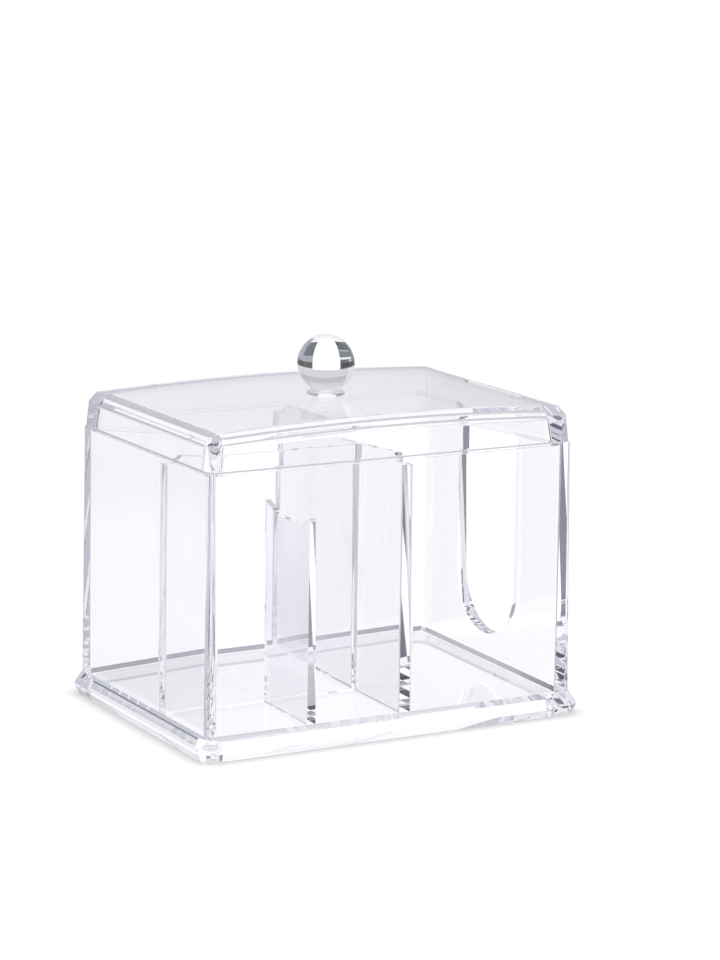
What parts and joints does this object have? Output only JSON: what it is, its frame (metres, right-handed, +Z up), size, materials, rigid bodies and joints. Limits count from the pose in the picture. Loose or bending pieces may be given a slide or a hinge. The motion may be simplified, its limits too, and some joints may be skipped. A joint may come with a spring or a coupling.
{
  "type": "cotton swab holder",
  "caption": "Clear rectangular holder with upright compartments, a finger slot in one wall, an outward flange at its foot, and a lift-off arched lid with a ball knob.",
  "frame": {"origin": "middle of the footprint, on the surface that the box stands on", "axes": "+X to the right, seen from the front, towards the wall with the finger slot; +Y to the back; +Z up"},
  "size_m": [0.148, 0.109, 0.132],
  "materials": {
    "clear_plastic": "clear, polished"
  },
  "bodies": {
    "holder": {"compartment_box": "clear_plastic"},
    "cover": {"lid": "clear_plastic", "ball_knob": "clear_plastic"}
  },
  "joints": [
    {"name": "lid_lift", "type": "slide", "parent": "holder", "child": "cover", "axis": [0, 0, 1], "range_m": [0, 0.05]}
  ]
}
